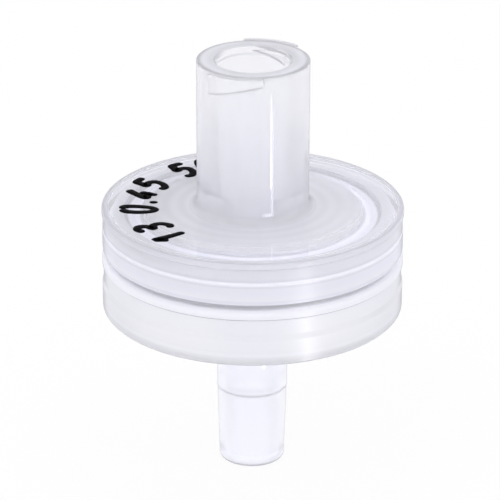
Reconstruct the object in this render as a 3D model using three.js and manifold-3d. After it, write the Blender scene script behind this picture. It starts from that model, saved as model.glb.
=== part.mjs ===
// A welded syringe filter. A female luer-lock inlet stands on the upper shell, a membrane disc is clamped
// between the two shells, and a male luer slip outlet hangs under the lower shell.
// Millimetres, +Z up, with the origin at the middle of the outlet tip's end face.

import * as THREE from 'three';
import { mergeVertices } from 'three/addons/utils/BufferGeometryUtils.js';
import Module from 'manifold-3d';

const wasm = await Module();
wasm.setup();

// ---------------------------------------------------------------- driving dimensions

const roundFlats = 64; // flats around every turned surface
const filletSteps = 3; // straight steps in a quarter-round edge

// Luer fittings, both with the standard 6 % taper
const luerTaper = 0.06; // diameter gained for each unit of length
const slipTipDiameter = 3.925;
const slipLength = 4.85;
const slipTipRounding = 0.22;
const socketMouthDiameter = 4.3;
const socketDepth = 8.0;
const socketLeadIn = 0.19;

// Inlet hub
const hubDiameter = 6.67;
const hubHeight = 9.15;
const hubFillet = 0.5;
const hubRimRounding = 0.08;
const throatDiameter = 2.4;
const throatFunnel = 0.25; // depth of the sloped step between socket and throat

// Lugs of the female luer lock
const lugCount = 2;
const lugProjection = 0.38;
const lugHeight = 1.2; // at the deep end
const lugLead = 5.0; // rise of the underside in a full turn
const lugArcDegrees = 55;
const lugStartDegrees = -46; // where the first lug's deep end stands, from the front
const lugFlankRise = 0.12; // slope of the underside, from root to crest
const lugRootDepth = 0.3; // how far a lug is rooted in the hub wall
const lugSteps = 9;

// Membrane and the chamber above it
const membraneDiameter = 14.0;
const membraneThickness = 0.15;
const membraneClampWidth = 0.45; // edge of the membrane that the shells pinch
const chamberHeight = 0.7;
const chamberSlope = 0.22; // rise of the ceiling from the clamp to the throat
const topPlateThickness = 0.97;

// Weld joint between the shells, from the membrane outwards
const clampRibMargin = 0.65; // clamp rib beyond the edge of the membrane
const jointClearance = 0.1; // each side of the weld tongue
const tongueThickness = 0.5;
const skirtThickness = 0.62;
const skirtEdgeRounding = 0.25;
const seamGap = 0.36; // open groove between the shells' outer walls
const seatRise = 1.25; // membrane seat above the lower shell's shoulder

// Upper shell's outer wall
const topEdgeRounding = 0.15;
const topLipHeight = 0.35;
const topLipStep = 0.06; // how far the lip stands out from the band below it
const upperBandHeight = 1.28; // lip and band together, down to the skirt
const upperBandStep = 0.03; // how far the skirt stands out from the band

// Lower shell
const lowerSideHeight = 3.39;
const shoulderRounding = 0.25;
const shoulderBandHeight = 0.42; // band along the shoulder
const lowerBandHeight = 1.62; // band along the bottom edge
const lowerBandStep = 0.08; // how far both bands stand out from the wall between them
const bottomEdgeRounding = 0.3;
const lowerWallThickness = 1.35;
const floorThickness = 1.3;
const recessFillet = 0.4;

// Outlet stem and its bore
const stemLength = 5.29; // from the slip's shoulder to the bottom of the side wall
const stemStep = 0.025; // how far the stem stands out beyond the slip
const outletBoreDiameter = 2.1;
const outletBoreDraft = 0.02; // diameter lost for each unit of height
const drainFunnelWidth = 0.35;
const drainFunnelDepth = 0.3;

// Support grid under the membrane
const supportHeight = 0.5;
const supportRingWidth = 0.45;
const supportRingPitch = 1.02;
const drainChannelCount = 8;
const drainChannelWidth = 0.7;

// ---------------------------------------------------------------- sizes that follow

const hubRadius = hubDiameter / 2;
const membraneRadius = membraneDiameter / 2;
const chamberRadius = membraneRadius - membraneClampWidth;
const clampRibRadius = membraneRadius + clampRibMargin;
const tongueInnerRadius = clampRibRadius + jointClearance;
const tongueOuterRadius = tongueInnerRadius + tongueThickness;
const skirtInnerRadius = tongueOuterRadius + jointClearance;
const skirtRadius = skirtInnerRadius + skirtThickness;
const upperBandRadius = skirtRadius - upperBandStep;
const housingRadius = upperBandRadius + topLipStep;

const slipRootRadius = (slipTipDiameter + luerTaper * slipLength) / 2;
const stemRadius = slipRootRadius + stemStep;
const bottomZ = slipLength + stemLength;
const shoulderZ = bottomZ + lowerSideHeight;
const seatZ = shoulderZ + seatRise;
const channelFloorZ = seatZ - supportHeight;
const floorUndersideZ = channelFloorZ - floorThickness;
const clampZ = seatZ + membraneThickness;
const ceilingZ = clampZ + chamberHeight;
const topZ = ceilingZ + topPlateThickness;
const rimZ = topZ + hubHeight;
const socketFloorZ = rimZ - socketDepth;
const outletBoreTopDiameter = outletBoreDiameter - outletBoreDraft * channelFloorZ;
const drainRadius = outletBoreTopDiameter / 2 + drainFunnelWidth;

// ---------------------------------------------------------------- shape helpers

/** Replaces a corner of an outline with a tangent arc of the given radius. */
function cornerArc(before, corner, after, radius) {
  const toBefore = before.clone().sub(corner).normalize();
  const toAfter = after.clone().sub(corner).normalize();
  const halfAngle = Math.acos(THREE.MathUtils.clamp(toBefore.dot(toAfter), -1, 1)) / 2;
  const bisector = toBefore.clone().add(toAfter).normalize();
  const centre = corner.clone().addScaledVector(bisector, radius / Math.sin(halfAngle));
  const tangentLength = radius / Math.tan(halfAngle);
  const start = corner.clone().addScaledVector(toBefore, tangentLength).sub(centre);
  const end = corner.clone().addScaledVector(toAfter, tangentLength).sub(centre);
  const sweep = Math.atan2(start.cross(end), start.dot(end));
  const steps = Math.max(1, Math.round((filletSteps * Math.abs(sweep)) / (Math.PI / 2)));
  const points = [];
  for (let i = 0; i <= steps; i++) {
    points.push(start.clone().rotateAround(new THREE.Vector2(), (sweep * i) / steps).add(centre));
  }
  return points;
}

/** Closed outline from corners [radius, height, rounding], listed anticlockwise. */
function roundedOutline(corners) {
  const points = corners.map(([r, z]) => new THREE.Vector2(r, z));
  const count = points.length;
  return corners.flatMap(([, , rounding], i) => {
    if (!rounding) {
      return [points[i]];
    }
    return cornerArc(points[(i + count - 1) % count], points[i], points[(i + 1) % count], rounding);
  });
}

/** A geometry as a manifold solid, with its shared vertices merged. */
function solidFrom(geometry) {
  const bare = geometry.clone();
  bare.deleteAttribute('normal');
  bare.deleteAttribute('uv');
  const merged = mergeVertices(bare);
  return new wasm.Manifold(new wasm.Mesh({
    numProp: 3,
    vertProperties: new Float32Array(merged.attributes.position.array),
    triVerts: new Uint32Array(merged.index.array),
  }));
}

/** Turns a closed outline of [radius, height, rounding] corners about Z. */
function turned(corners) {
  const outline = roundedOutline(corners);
  const closed = [...outline, outline[0].clone()];
  return solidFrom(new THREE.LatheGeometry(closed, roundFlats).rotateX(Math.PI / 2));
}

/** A ring of rectangular section. */
function ring(innerRadius, outerRadius, bottom, top) {
  return turned([
    [innerRadius, bottom],
    [outerRadius, bottom],
    [outerRadius, top],
    [innerRadius, top],
  ]);
}

/** A point on the circle of that radius, at an angle from the front (-Y) towards the right (+X). */
function around(radius, angle, z) {
  return new THREE.Vector3(radius * Math.sin(angle), -radius * Math.cos(angle), z);
}

/** Skins a row of like sections, each a convex loop of points, and closes both ends. */
function lofted(sections) {
  const loop = sections[0].length;
  const index = [];
  for (let s = 0; s + 1 < sections.length; s++) {
    for (let i = 0; i < loop; i++) {
      const here = s * loop + i;
      const beside = s * loop + ((i + 1) % loop);
      index.push(here, beside, beside + loop);
      index.push(here, beside + loop, here + loop);
    }
  }
  const last = (sections.length - 1) * loop;
  for (let i = 1; i + 1 < loop; i++) {
    index.push(0, i + 1, i);
    index.push(last, last + i, last + i + 1);
  }
  const geometry = new THREE.BufferGeometry().setFromPoints(sections.flat());
  geometry.setIndex(index);
  return solidFrom(geometry);
}

/** A named mesh of the scene, flat-shaded as its facets are. */
function namedMesh(name, solid, material) {
  const { vertProperties, triVerts } = solid.getMesh();
  const geometry = new THREE.BufferGeometry();
  geometry.setAttribute('position', new THREE.BufferAttribute(vertProperties, 3));
  geometry.setIndex(new THREE.BufferAttribute(triVerts, 1));
  geometry.computeVertexNormals();
  const mesh = new THREE.Mesh(geometry, material);
  mesh.name = name;
  return mesh;
}

// ---------------------------------------------------------------- inlet housing

/** One lug: flush with the hub's rim, its underside rising along a right-hand helix. */
function luerLug(startAngle) {
  const arc = THREE.MathUtils.degToRad(lugArcDegrees);
  const sections = [];
  for (let i = 0; i <= lugSteps; i++) {
    const turn = (arc * i) / lugSteps;
    const angle = startAngle + turn;
    const undersideZ = rimZ - lugHeight + (lugLead * turn) / (2 * Math.PI);
    sections.push([
      around(hubRadius - lugRootDepth, angle, undersideZ),
      around(hubRadius - lugRootDepth, angle, rimZ),
      around(hubRadius + lugProjection, angle, rimZ),
      around(hubRadius + lugProjection, angle, undersideZ + lugFlankRise),
    ]);
  }
  return lofted(sections);
}

/** Upper shell: cap with its skirt, clamp rib and weld groove, and the hub with its luer socket. */
function inletHousing() {
  const throatRadius = throatDiameter / 2;
  const socketMouthRadius = socketMouthDiameter / 2;
  const socketFloorRadius = socketMouthRadius - (luerTaper * socketDepth) / 2;
  const bandZ = topZ - upperBandHeight;
  const lipZ = topZ - topLipHeight;
  const skirtZ = shoulderZ + seamGap;
  let solid = turned([
    [throatRadius, ceilingZ + chamberSlope],
    [chamberRadius, ceilingZ],
    [chamberRadius, clampZ],
    [clampRibRadius, clampZ],
    [clampRibRadius, ceilingZ],
    [skirtInnerRadius, ceilingZ],
    [skirtInnerRadius, skirtZ],
    [skirtRadius, skirtZ, skirtEdgeRounding],
    [skirtRadius, bandZ - upperBandStep],
    [upperBandRadius, bandZ],
    [upperBandRadius, lipZ - topLipStep],
    [housingRadius, lipZ],
    [housingRadius, topZ, topEdgeRounding],
    [hubRadius, topZ, hubFillet],
    [hubRadius, rimZ, hubRimRounding],
    [socketMouthRadius + socketLeadIn, rimZ],
    [socketMouthRadius, rimZ - socketLeadIn],
    [socketFloorRadius, socketFloorZ],
    [throatRadius, socketFloorZ - throatFunnel],
  ]);
  const firstLug = THREE.MathUtils.degToRad(lugStartDegrees);
  for (let i = 0; i < lugCount; i++) {
    solid = solid.add(luerLug(firstLug + (2 * Math.PI * i) / lugCount));
  }
  return solid;
}

// ---------------------------------------------------------------- outlet housing

/** Concentric rings that carry the membrane, parted by radial drain channels. */
function supportGrid() {
  const rootZ = channelFloorZ - floorThickness / 2;
  const room = chamberRadius - drainRadius;
  const ringCount = Math.max(1, Math.floor(room / supportRingPitch));
  const rings = [];
  for (let i = 0; i < ringCount; i++) {
    const innerRadius = drainRadius + (room * i) / ringCount;
    rings.push(ring(innerRadius, innerRadius + supportRingWidth, rootZ, seatZ));
  }
  let grid = rings.reduce((all, next) => all.add(next));
  for (let i = 0; i < drainChannelCount; i++) {
    const channel = new THREE.BoxGeometry(drainChannelWidth, chamberRadius, supportHeight * 2);
    channel.translate(0, -chamberRadius / 2, channelFloorZ + supportHeight);
    channel.rotateZ((2 * Math.PI * i) / drainChannelCount);
    grid = grid.subtract(solidFrom(channel));
  }
  return grid;
}

/** Lower shell: membrane seat and weld tongue, cored underside, and the stem with its luer slip. */
function outletHousing() {
  const boreRadius = outletBoreDiameter / 2;
  const boreTopRadius = outletBoreTopDiameter / 2;
  const wallRadius = housingRadius - lowerBandStep;
  const bandZ = bottomZ + lowerBandHeight;
  const shoulderBandZ = shoulderZ - shoulderBandHeight;
  const recessRadius = housingRadius - lowerWallThickness;
  const body = turned([
    [boreRadius, 0],
    [slipTipDiameter / 2, 0, slipTipRounding],
    [slipRootRadius, slipLength],
    [stemRadius, slipLength + stemStep],
    [stemRadius, floorUndersideZ, recessFillet],
    [recessRadius, floorUndersideZ, recessFillet],
    [recessRadius, bottomZ],
    [housingRadius, bottomZ, bottomEdgeRounding],
    [housingRadius, bandZ],
    [wallRadius, bandZ + lowerBandStep],
    [wallRadius, shoulderBandZ - lowerBandStep],
    [housingRadius, shoulderBandZ],
    [housingRadius, shoulderZ, shoulderRounding],
    [tongueOuterRadius, shoulderZ],
    [tongueOuterRadius, ceilingZ],
    [tongueInnerRadius, ceilingZ],
    [tongueInnerRadius, seatZ],
    [chamberRadius, seatZ],
    [chamberRadius, channelFloorZ],
    [drainRadius, channelFloorZ],
    [boreTopRadius, channelFloorZ - drainFunnelDepth],
  ]);
  return body.add(supportGrid());
}

// ---------------------------------------------------------------- membrane

/** The filter disc, lying on the seat and the support rings. */
function filterMembrane() {
  const disc = new THREE.CylinderGeometry(membraneRadius, membraneRadius, membraneThickness, roundFlats);
  disc.rotateX(Math.PI / 2);
  disc.translate(0, 0, seatZ + membraneThickness / 2);
  return solidFrom(disc);
}

// ---------------------------------------------------------------- the assembly

const inletPlastic = new THREE.MeshStandardMaterial({
  color: 0xdcdde9,
  roughness: 0.22,
  metalness: 0,
  transparent: true,
  opacity: 0.55,
});
const outletPlastic = new THREE.MeshStandardMaterial({
  color: 0xe9eaf6,
  roughness: 0.25,
  metalness: 0,
  transparent: true,
  opacity: 0.55,
});
const membraneWhite = new THREE.MeshStandardMaterial({ color: 0xf6f6f3, roughness: 0.85, metalness: 0 });

const syringeFilter = new THREE.Group();
syringeFilter.name = 'syringe_filter';
syringeFilter.add(
  namedMesh('inlet_housing', inletHousing(), inletPlastic),
  namedMesh('filter_membrane', filterMembrane(), membraneWhite),
  namedMesh('outlet_housing', outletHousing(), outletPlastic),
);

export default syringeFilter;
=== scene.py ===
"""Syringe filter: two clear moulded shells, a clamped membrane disc and printed numbers.

The frame gives every height and radius that the pieces share with the solid model. The sizes
below that the frame's boxes don't give are the ones that the solid model is made from.
"""

import functools
import math

import bpy
from mathutils import Euler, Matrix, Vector


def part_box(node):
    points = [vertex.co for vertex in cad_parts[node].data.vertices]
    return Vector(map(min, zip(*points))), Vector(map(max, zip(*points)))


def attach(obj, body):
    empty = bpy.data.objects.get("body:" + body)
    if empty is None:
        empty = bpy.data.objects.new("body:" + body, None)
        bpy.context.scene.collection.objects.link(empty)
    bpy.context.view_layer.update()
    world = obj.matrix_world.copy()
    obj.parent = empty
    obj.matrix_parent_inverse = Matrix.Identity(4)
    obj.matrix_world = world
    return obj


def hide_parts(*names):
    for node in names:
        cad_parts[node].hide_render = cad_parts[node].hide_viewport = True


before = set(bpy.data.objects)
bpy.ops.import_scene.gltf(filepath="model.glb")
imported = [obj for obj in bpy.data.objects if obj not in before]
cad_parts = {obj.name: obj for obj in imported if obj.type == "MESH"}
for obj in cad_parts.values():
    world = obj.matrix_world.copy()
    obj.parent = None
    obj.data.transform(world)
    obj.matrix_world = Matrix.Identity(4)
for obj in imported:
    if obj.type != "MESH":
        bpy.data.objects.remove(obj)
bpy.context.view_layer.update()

bl_info = {
    "name": "Syringe Filter",
    "version": (1, 0, 0),
    "blender": (4, 5, 0),
    "location": "3D View > Sidebar > Filter",
    "description": "Builds a round syringe filter with luer fittings, membrane and printed numbers",
    "category": "Add Mesh",
}

MM = 0.001

inlet_low, inlet_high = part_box("inlet_housing")
outlet_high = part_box("outlet_housing")[1]
membrane_low, membrane_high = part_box("filter_membrane")

HOUSING_RADIUS = outlet_high.x
MEMBRANE_RADIUS = membrane_high.x
RIM_Z = inlet_high.z
SKIRT_Z = inlet_low.z
CEILING_Z = outlet_high.z  # the weld tongue reaches the chamber's ceiling
SEAT_Z = membrane_low.z
CLAMP_Z = membrane_high.z
CONTACT_GAP = 0.006 * MM  # hairline between pieces that touch


# ---- properties

def length(name, description, millimetres, least=0.0):
    """A size, given in millimetres and kept in metres."""
    return bpy.props.FloatProperty(
        name=name, description=description, default=millimetres * MM, min=least,
        precision=6, subtype="DISTANCE", unit="LENGTH",
    )


def turn(name, description, degrees):
    """An angle, given in degrees and kept in radians."""
    return bpy.props.FloatProperty(
        name=name, description=description, default=math.radians(degrees),
        subtype="ANGLE", unit="ROTATION",
    )


def share(name, description, default):
    """A number from 0 to 1."""
    return bpy.props.FloatProperty(
        name=name, description=description, default=default, min=0.0, max=1.0, subtype="FACTOR",
    )


def number(name, description, default, low=0.0):
    """A plain number."""
    return bpy.props.FloatProperty(name=name, description=description, default=default, min=low)


def count(name, description, default):
    """A whole number."""
    return bpy.props.IntProperty(name=name, description=description, default=default, min=1)


def colour(name, description, default):
    """A linear colour."""
    return bpy.props.FloatVectorProperty(
        name=name, description=description, default=default,
        size=3, min=0.0, max=1.0, subtype="COLOR",
    )


class InletSizes(bpy.types.PropertyGroup):
    """Upper shell with its hub, luer socket and lugs."""
    hub_diameter: length("Hub diameter", "Outside of the luer hub", 6.67)
    hub_fillet: length("Hub fillet", "Rounding between the hub and the top face", 0.5)
    rim_rounding: length("Rim rounding", "Rounding of the hub's outer rim", 0.08)
    socket_mouth: length("Socket mouth", "Diameter of the luer socket at its mouth", 4.3)
    socket_depth: length("Socket depth", "Depth of the luer socket", 8.0)
    socket_taper: number("Socket taper", "Diameter lost for each unit of depth", 0.06)
    lead_in: length("Lead-in", "Chamfer at the socket's mouth", 0.19)
    throat: length("Throat", "Diameter of the passage into the chamber", 2.4)
    throat_funnel: length("Throat funnel", "Depth of the step above the throat", 0.25)
    chamber_slope: length("Chamber slope", "Rise of the ceiling to the throat", 0.22)
    top_plate: length("Top plate", "Thickness over the chamber", 0.97)
    top_rounding: length("Top rounding", "Rounding of the top edge", 0.15)
    lip_height: length("Lip height", "Lip along the top edge", 0.35)
    lip_step: length("Lip step", "How far the lip stands out from the band", 0.06)
    band_height: length("Band height", "Lip and band together", 1.28)
    band_step: length("Band step", "How far the skirt stands out from the band", 0.03)
    skirt_rounding: length("Skirt rounding", "Rounding of the skirt's lower edge", 0.25)
    clamp_margin: length("Clamp margin", "Clamp rib beyond the membrane", 0.65)
    clamp_width: length("Clamp width", "Edge of the membrane that is pinched", 0.45)
    lug_count: count("Lugs", "Lugs of the luer lock", 2)
    lug_projection: length("Lug projection", "How far a lug stands out", 0.38)
    lug_height: length("Lug height", "Height of a lug at its deep end", 1.2)
    lug_lead: length("Lug lead", "Rise of the underside in a full turn", 5.0)
    lug_arc: turn("Lug arc", "Angle that a lug spans", 55.0)
    lug_start: turn("Lug start", "Where the first lug's deep end stands", -46.0)
    lug_rounding: length("Lug rounding", "Rounding of a lug's edges", 0.05)


class OutletSizes(bpy.types.PropertyGroup):
    """Lower shell with its stem, luer slip and support grid."""
    tip_diameter: length("Tip diameter", "Luer slip at its tip", 3.925)
    tip_rounding: length("Tip rounding", "Rounding of the tip's edge", 0.22)
    slip_length: length("Slip length", "Length of the luer slip", 4.85)
    slip_taper: number("Slip taper", "Diameter gained for each unit of length", 0.06)
    stem_length: length("Stem length", "From the slip's shoulder to the side wall", 5.29)
    stem_step: length("Stem step", "How far the stem stands out", 0.025)
    bore: length("Bore", "Outlet bore at the tip", 2.1)
    bore_draft: number("Bore draft", "Diameter lost for each unit of height", 0.02)
    side_height: length("Side height", "Height of the lower side wall", 3.39)
    shoulder_rounding: length("Shoulder rounding", "Rounding of the upper edge", 0.25)
    shoulder_band: length("Shoulder band", "Height of the band along the shoulder", 0.42)
    band_height: length("Band height", "Band along the bottom edge", 1.62)
    band_step: length("Band step", "How far both bands stand out", 0.08)
    bottom_rounding: length("Bottom rounding", "Rounding of the bottom edge", 0.3)
    wall: length("Wall", "Thickness of the side wall", 1.35)
    floor: length("Floor", "Thickness of the chamber's floor", 1.3)
    recess_fillet: length("Recess fillet", "Rounding in the underside", 0.4)
    tongue: length("Tongue", "Thickness of the weld tongue", 0.5)
    clearance: length("Clearance", "Each side of the weld tongue", 0.1)
    grid_height: length("Grid height", "Height of the support rings", 0.5)
    grid_width: length("Grid width", "Width of a support ring", 0.45)
    grid_pitch: length("Grid pitch", "Least distance from ring to ring", 1.02)
    channel_count: count("Channels", "Radial drain channels", 8)
    channel_width: length("Channel width", "Width of a drain channel", 0.7)
    funnel_width: length("Funnel width", "Drain funnel beyond the bore", 0.35)
    funnel_depth: length("Funnel depth", "Depth of the drain funnel", 0.3)


class MembraneSizes(bpy.types.PropertyGroup):
    """Filter disc."""
    sag: length("Sag", "How far the disc dips between the support rings", 0.012)
    bump: share("Grain", "Strength of the membrane's fine grain", 0.35)
    tone: colour("Membrane colour", "Matt white microporous sheet", (0.83, 0.83, 0.85))


class PrintSettings(bpy.types.PropertyGroup):
    """Numbers printed on the top face."""
    numbers: bpy.props.StringProperty(
        name="Numbers", description="Plain numerals, read clockwise", default="13 0.45 50",
    )
    stroke: length("Stroke", "Width of a printed stroke", 0.50)
    thickness: length("Ink thickness", "How far the ink stands up", 0.012)
    height: length("Character height", "Height of a numeral", 2.45)
    inner_radius: length("Inner radius", "Foot of the numerals", 5.62)
    start: turn("Start", "Where the first numeral begins, from the front", -38.0)
    slant: number("Slant", "Lean of the numerals", 0.18)
    ink: colour("Ink colour", "Printing ink", (0.002, 0.002, 0.0025))


class Finishes(bpy.types.PropertyGroup):
    """Colours and gloss of the two plastics."""
    inlet_tone: colour("Inlet colour", "Upper shell", (0.985, 0.985, 1.0))
    outlet_tone: colour("Outlet colour", "Lower shell", (0.99, 0.99, 1.0))
    gloss: share("Roughness", "Roughness of the moulded faces", 0.05)
    core_gloss: share("Core roughness", "Roughness of the cored and inner faces", 0.4)
    inlet_cloud: colour("Inlet cloud", "Milky light of the upper shell", (0.945, 0.945, 1.0))
    outlet_cloud: colour("Outlet cloud", "Milky light of the lower shell", (0.957, 0.957, 1.0))
    clarity: share("Clarity", "How much of the light passes straight through", 0.88)


class StudioSettings(bpy.types.PropertyGroup):
    """Camera, lamps and floor."""
    camera_distance: length("Camera distance", "From the middle of the filter", 180.87)
    camera_elevation: turn("Camera elevation", "Above the horizon", 23.39)
    camera_lens: number("Lens", "Focal length in millimetres", 217.43, low=1.0)
    aim_height: length("Aim height", "Height that the camera looks at", 13.617)
    aim_side: length("Aim side", "How far the camera is moved sideways", -0.155, least=-1.0)
    camera_roll: turn("Camera roll", "Lean of the camera about its line of sight", 0.20)
    room: share("Room light", "Grey of the room for light that scatters", 0.95)
    surround: share("Surround", "Grey of the room beyond the table, seen through plastic", 0.6)
    white_reach: length("White reach", "Radius of the white table top round the filter", 80.0)
    floor_glow: share("Floor glow", "How far the table top is lit evenly", 0.9)
    strip_turn: turn("Strip turn", "Where the strip lamp stands, from the front to the right", 36.0)
    strip_power: number("Strip power", "Watts of the strip lamp that the walls mirror", 0.0042)
    key_power: number("Key power", "Watts of the key lamp", 0.40)
    fill_power: number("Fill power", "Watts of the fill lamp", 0.20)
    top_power: number("Top power", "Watts of the top lamp", 0.20)


def settings():
    """The add-on's settings."""
    return bpy.context.scene.syringe_filter


# ---- node trees

class Tree:
    """A node tree, with short ways to add its nodes, links and named sockets."""

    def __init__(self, name, kind):
        self.start(bpy.data.node_groups.new(name, kind))
        self.inlet = self.nodes.new("NodeGroupInput")
        self.outlet = self.nodes.new("NodeGroupOutput")

    def start(self, tree):
        self.tree, self.nodes, self.links, self.made = tree, tree.nodes, tree.links, 0
        self.family = "GeometryNode" if tree.type == "GEOMETRY" else "ShaderNode"

    def takes(self, kind, *names):
        """Adds named inputs of one kind and returns the socket or sockets inside the tree."""
        for name in names:
            self.tree.interface.new_socket(name, in_out="INPUT", socket_type="NodeSocket" + kind)
        sockets = [self.inlet.outputs[name] for name in names]
        return sockets if len(sockets) > 1 else sockets[0]

    def gives(self, kind, **values):
        """Adds named outputs of one kind, fed by the given values, and returns the tree."""
        for name, value in values.items():
            self.tree.interface.new_socket(name, in_out="OUTPUT", socket_type="NodeSocket" + kind)
            self.feed(self.outlet.inputs[name], value)
        return self.tree

    def node(self, kind, choices=None, **inputs):
        """Adds a node of the tree's family. An underscore in an input's name is a space."""
        made = self.nodes.new(kind if kind.startswith("ShaderNode") else self.family + kind)
        made.location = (220 * (self.made // 6), -170 * (self.made % 6))
        self.made += 1
        for key, value in (choices or {}).items():
            setattr(made, key, value)
        for key, value in inputs.items():
            self.feed(made.inputs[key.replace("_", " ")], value)
        return made

    def group(self, name, maker, **inputs):
        """Places a node group that several pieces share."""
        return self.node("Group", {"node_tree": shared_group(name, maker)}, **inputs)

    def feed(self, socket, value):
        """Links a socket, a node's first output or each of a list, or sets a plain value."""
        if isinstance(value, bpy.types.Node):
            value = value.outputs[0]
        if isinstance(value, bpy.types.NodeSocket):
            self.links.new(value, socket)
        elif isinstance(value, list):
            for each in value:
                self.feed(socket, each)
        else:
            socket.default_value = value

    def sum(self, operation, *values, kind="ShaderNodeMath", **inputs):
        """A Math node's result."""
        made = self.node(kind, {"operation": operation}, **inputs)
        for socket, value in zip(made.inputs, values):
            self.feed(socket, value)
        return made.outputs[0]

    def vector(self, operation, *values, **inputs):
        """A Vector Math node's result."""
        return self.sum(operation, *values, kind="ShaderNodeVectorMath", **inputs)

    def plus(self, *values):
        return functools.reduce(functools.partial(self.sum, "ADD"), values)

    def times(self, *values):
        return functools.reduce(functools.partial(self.sum, "MULTIPLY"), values)

    def minus(self, value, taken):
        return self.sum("SUBTRACT", value, taken)

    def over(self, value, divisor):
        return self.sum("DIVIDE", value, divisor)

    def above(self, value, limit):
        """1 where the value is greater than the limit, otherwise 0."""
        return self.sum("GREATER_THAN", value, limit)

    def most(self, *values):
        """The greatest of the values."""
        return functools.reduce(functools.partial(self.sum, "MAXIMUM"), values)

    def blend(self, share_of_b, a, b):
        """a where the share is 0, b where it is 1."""
        return self.sum("MULTIPLY_ADD", self.minus(b, a), share_of_b, a)

    def ease(self, value, low, high, first=0.0, last=1.0):
        """Goes smoothly from first to last while the value goes from low to high."""
        return self.node("ShaderNodeMapRange", {"interpolation_type": "SMOOTHSTEP"}, Value=value,
                         From_Min=low, From_Max=high, To_Min=first, To_Max=last).outputs[0]

    def parts(self, vector):
        """X, Y and Z of a vector."""
        return self.node("ShaderNodeSeparateXYZ", Vector=vector).outputs

    def point(self, x, y, z):
        """A vector of three values."""
        return self.node("ShaderNodeCombineXYZ", X=x, Y=y, Z=z).outputs[0]

    def from_axis(self, place):
        """Radius and height of a place."""
        x, y, z = self.parts(place)
        return self.sum("SQRT", self.plus(self.times(x, x), self.times(y, y))), z


class ShaderTree(Tree):
    """The nodes of a material or a world."""

    def __init__(self, owner):
        owner.use_nodes = True
        owner.node_tree.nodes.clear()
        self.start(owner.node_tree)


def shared_group(name, maker):
    """A node group that several pieces use, made once."""
    return bpy.data.node_groups.get(name) or maker()


WELD_DISTANCE = 1e-7  # metres between points that become one
SPACING = 2.0  # from block to block before they are placed
LUG_POINTS = (33, 13, 15)  # along, across and up a lug
RING_POINTS = (11, 2, 2)
NIB_STEP = 0.08  # from point to point of a stroke, as a share of its width
NIB_LIMIT = 1.02  # a little over 1, so that the ends of a stroke stay open


def turned_body_group():
    """Geometry group: turns a closed outline, drawn as x = radius and y = height, about Z."""
    tree = Tree("Turned body", "GeometryNodeTree")
    outline = tree.takes("Geometry", "Outline")
    facets = tree.takes("Int", "Facets")
    rail = tree.takes("Float", "Rail Radius")
    curve = tree.node("MeshToCurve", Mesh=outline)
    placed = tree.node("Transform", Geometry=curve,
                       Translation=tree.point(tree.times(rail, -1.0), 0.0, 0.0))
    upright = tree.node("Transform", Geometry=placed, Scale=(1.0, -1.0, 1.0))
    circle = tree.node("CurvePrimitiveCircle", Resolution=facets, Radius=rail)
    body = tree.node("CurveToMesh", Curve=circle, Profile_Curve=upright)
    closed = tree.node("MergeByDistance", Geometry=body, Distance=WELD_DISTANCE)
    return tree.gives("Geometry", Mesh=tree.node("FlipFaces", Mesh=closed))


def polar_blocks(tree, columns, rows, points):
    """Unit blocks in columns and rows, as one mesh: (mesh, column, row, x, y, z in the block)."""
    line = tree.node("MeshLine", {"mode": "OFFSET"}, Count=columns, Offset=(SPACING, 0.0, 0.0))
    across = tree.node("MeshLine", {"mode": "OFFSET"}, Count=rows, Offset=(0.0, SPACING, 0.0))
    cube = tree.node("MeshCube", Size=(1.0, 1.0, 1.0),
                     Vertices_X=points[0], Vertices_Y=points[1], Vertices_Z=points[2])
    cube = tree.node("Transform", Geometry=cube, Translation=(0.5, 0.5, 0.5))
    blocks = across
    for repeated in (line, cube):
        blocks = tree.node("InstanceOnPoints", Points=blocks, Instance=repeated)
        blocks = tree.node("RealizeInstances", Geometry=blocks)
    x, y, z = tree.parts(tree.node("InputPosition"))
    column, row = (tree.sum("FLOOR", tree.sum("MULTIPLY_ADD", at, 1 / SPACING, 0.001))
                   for at in (x, y))
    x = tree.sum("MULTIPLY_ADD", column, -SPACING, x)
    y = tree.sum("MULTIPLY_ADD", row, -SPACING, y)
    return blocks, column, row, x, y, z


def polar_place(tree, mesh, radius, angle, z):
    """Moves every point of the mesh to a radius, an angle from the front (-Y) and a height."""
    x = tree.times(radius, tree.sum("SINE", angle))
    y = tree.times(radius, tree.times(tree.sum("COSINE", angle), -1.0))
    return tree.node("SetPosition", Geometry=mesh, Position=tree.point(x, y, z))


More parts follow.
